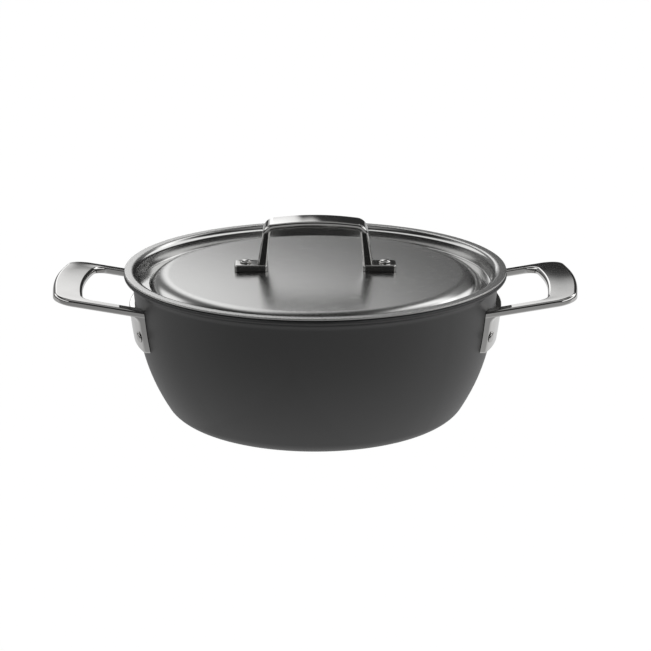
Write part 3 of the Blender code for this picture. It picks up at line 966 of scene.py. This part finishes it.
def makeCamera():
    # right and up shift the aim by that many pixels, each as large as pixel says at the pot
    tilt, pixel = math.radians(camera["elevation"]), camera["pixel"]
    ahead, up = Vector((0, math.cos(tilt), -math.sin(tilt))), Vector((0, math.sin(tilt), math.cos(tilt)))
    aim = Vector((camera["right"] * pixel, 0, camera["focus"])) + up * camera["up"] * pixel
    data = bpy.data.cameras.new("camera")
    data.sensor_width = camera["sensor"]
    data.lens = camera["sensor"] * camera["distance"] / (camera["pixels"] * pixel)
    made = bpy.data.objects.new("camera", data)
    made.location = aim - ahead * camera["distance"]
    made.rotation_euler = (math.pi / 2 - tilt, 0, 0)
    bpy.context.scene.collection.objects.link(made)
    bpy.context.scene.camera = made


makeCamera()


# Studio: a glowing white floor, and around it what the steel mirrors: a bright wall behind the pot,
# soft boxes at both sides, and darkness behind the camera

# shown and glow are what the camera sees, bounce lights the pot, and the steel mirrors the others
paper = {
    "size": 6.0,
    "drop": 0.0004,
    "tone": 0.86,
    "roughness": 0.9,
    "shown": 0.97,
    "glow": 1.03,
    "bounce": 1.5,
    "mirrored": 0.95,
    "mirroredFar": 0.42,
    "mirroredNear": 0.80,
    "nearFront": (-0.30, -0.08),
    "nearBack": (0.4, 1.2),
    "leftToRight": (-0.4, 0.4),
    "leftShare": 0.75,
}


def makeFloor():
    bm = bmesh.new()
    bmesh.ops.create_grid(bm, x_segments=1, y_segments=1, size=paper["size"])
    bmesh.ops.translate(bm, vec=(0, 0, -paper["drop"]), verts=bm.verts)
    floor = asObject("floor", bm)
    made, shader, wire = newMaterial("floorPaper")
    shader.inputs["Base Color"].default_value = (paper["tone"], paper["tone"], paper["tone"], 1)
    shader.inputs["Roughness"].default_value = paper["roughness"]
    x, y = axes(wire, place(wire))[:2]
    near = y.clamped(*paper["nearFront"]) * (1 - y.clamped(*paper["nearBack"]))
    mirrored = paper["mirroredFar"] + near * (paper["mirroredNear"] - paper["mirroredFar"])
    side = x.clamped(*paper["leftToRight"]) * (1 - paper["leftShare"]) + paper["leftShare"]
    path = wire.node("ShaderNodeLightPath")
    seen, diffuse, glossy = (path.beside(f"Is {kind} Ray") for kind in ("Camera", "Diffuse", "Glossy"))
    share = seen * paper["shown"] + diffuse + glossy * paper["mirrored"]
    strength = seen * paper["glow"] + (diffuse * paper["bounce"] + glossy * mirrored) * side
    glow = wire.node("ShaderNodeEmission", {}, {"Color": (1, 1, 1, 1), "Strength": strength})
    surface = Wire(wire.tree, shader.outputs["BSDF"])
    mixed = wire.node("ShaderNodeMixShader", {}, {0: share, 1: surface, 2: glow})
    wire.feed(wire.tree.nodes["Material Output"].inputs["Surface"], mixed)
    floor.data.materials.append(made)


# tones that the steel mirrors, by direction from the pot; a row of steps is (from, to, change) along x
surroundings = {
    "dark": 0.035,
    "fill": 0.08,
    "overhead": 0.35,
    "overheadFrom": (0.84, 0.96),
}
wall = {
    "start": 0.06,
    "startSteps": (
        (-0.17, -0.09, 0.153),
        (-0.055, -0.03, 0.0435),
        (-0.015, 0.018, 0.023),
        (0.02, 0.12, 0.03),
    ),
    "softness": 0.015,
    "end": (0.62, 0.78),
    "endSteps": [(-0.15, 0.05, 0.2)],
    "tone": 1.75,
    "toneSteps": ((-0.12, -0.03, -0.6), (-0.02, 0.03, -0.25), (0.03, 0.10, -0.72)),
    "leftEdge": (-0.26, -0.14),
    "leftTone": 0.2,
    "behind": (0.2, 0.6),
}
leftBox = {"out": (0.35, 0.5), "low": (0.30, 0.36), "high": (0.55, 0.68), "tone": 1.3}
rightBox = {"out": (0.40, 0.5), "low": (0.26, 0.34), "high": (0.6, 0.75), "tone": 1.5}
highBox = {"out": (0.17, 0.25), "behind": (0.4, 0.8), "low": (0.5, 0.6), "high": (0.85, 0.93), "tone": 2.4}


def stepped(value, x, steps):
    for low, high, change in steps:
        value = value + x.clamped(low, high) * change
    return value


def boxTone(box, across, z):
    return across * z.clamped(*box["low"]) * (1 - z.clamped(*box["high"])) * box["tone"]


def wallTone(wire, x, y, z):
    # starts low at the left, rises and darkens in steps to the right, and fades out overhead
    start = stepped(wall["start"], x, wall["startSteps"])
    height = wire.maths("MAXIMUM", z - start, 0.0)
    low = 1 - wire.maths("EXPONENT", height * (-1 / wall["softness"]))
    high = 1 - stepped(z, x, wall["endSteps"]).clamped(*wall["end"])
    tone = stepped(wall["tone"], x, wall["toneSteps"])
    edge = x.clamped(*wall["leftEdge"])
    return low * high * (edge * tone + (1 - edge) * wall["leftTone"]) * y.clamped(*wall["behind"])


def makeWorld():
    world = bpy.data.worlds.new("studio")
    bpy.context.scene.world = world
    world.use_nodes = True
    wire = Wire(world.node_tree)
    x, y, z = axes(wire, wire.node("ShaderNodeTexCoord", output="Generated"))
    tones = surroundings["dark"] + wallTone(wire, x, y, z)
    tones = tones + boxTone(leftBox, (0 - x).clamped(*leftBox["out"]), z)
    tones = tones + boxTone(rightBox, x.clamped(*rightBox["out"]), z)
    tones = tones + boxTone(highBox, x.clamped(*highBox["out"]) * y.clamped(*highBox["behind"]), z)
    tones = tones + z.clamped(*surroundings["overheadFrom"]) * surroundings["overhead"]
    path = wire.node("ShaderNodeLightPath")
    seen, glossy = path.beside("Is Camera Ray"), path.beside("Is Glossy Ray")
    strength = seen + (1 - seen) * (glossy * tones + (1 - glossy) * surroundings["fill"])
    background = world.node_tree.nodes["Background"]
    wire.feed(background.inputs["Strength"], strength)
    background.inputs["Color"].default_value = (1, 1, 1, 1)


lamps = {
    "keyLamp": {"place": (-1.3, -0.7, 1.1), "size": 0.9, "power": 1.5},
    "fillLamp": {"place": (1.4, -0.9, 0.8), "size": 0.8, "power": 3.5},
}
lampAim = Vector((0, 0, 0.06))


def makeLamp(name, lamp):
    # a square soft lamp that the steel doesn't mirror
    data = bpy.data.lights.new(name, "AREA")
    data.shape = "SQUARE"
    data.size = lamp["size"]
    data.energy = lamp["power"]
    made = bpy.data.objects.new(name, data)
    made.location = lamp["place"]
    made.rotation_euler = (lampAim - Vector(lamp["place"])).to_track_quat("-Z", "Y").to_euler()
    made.visible_glossy = False
    bpy.context.scene.collection.objects.link(made)


makeFloor()
makeWorld()
for lampName, lamp in lamps.items():
    makeLamp(lampName, lamp)
bpy.context.scene.view_settings.view_transform = "Standard"
print("camera, floor and lights made")
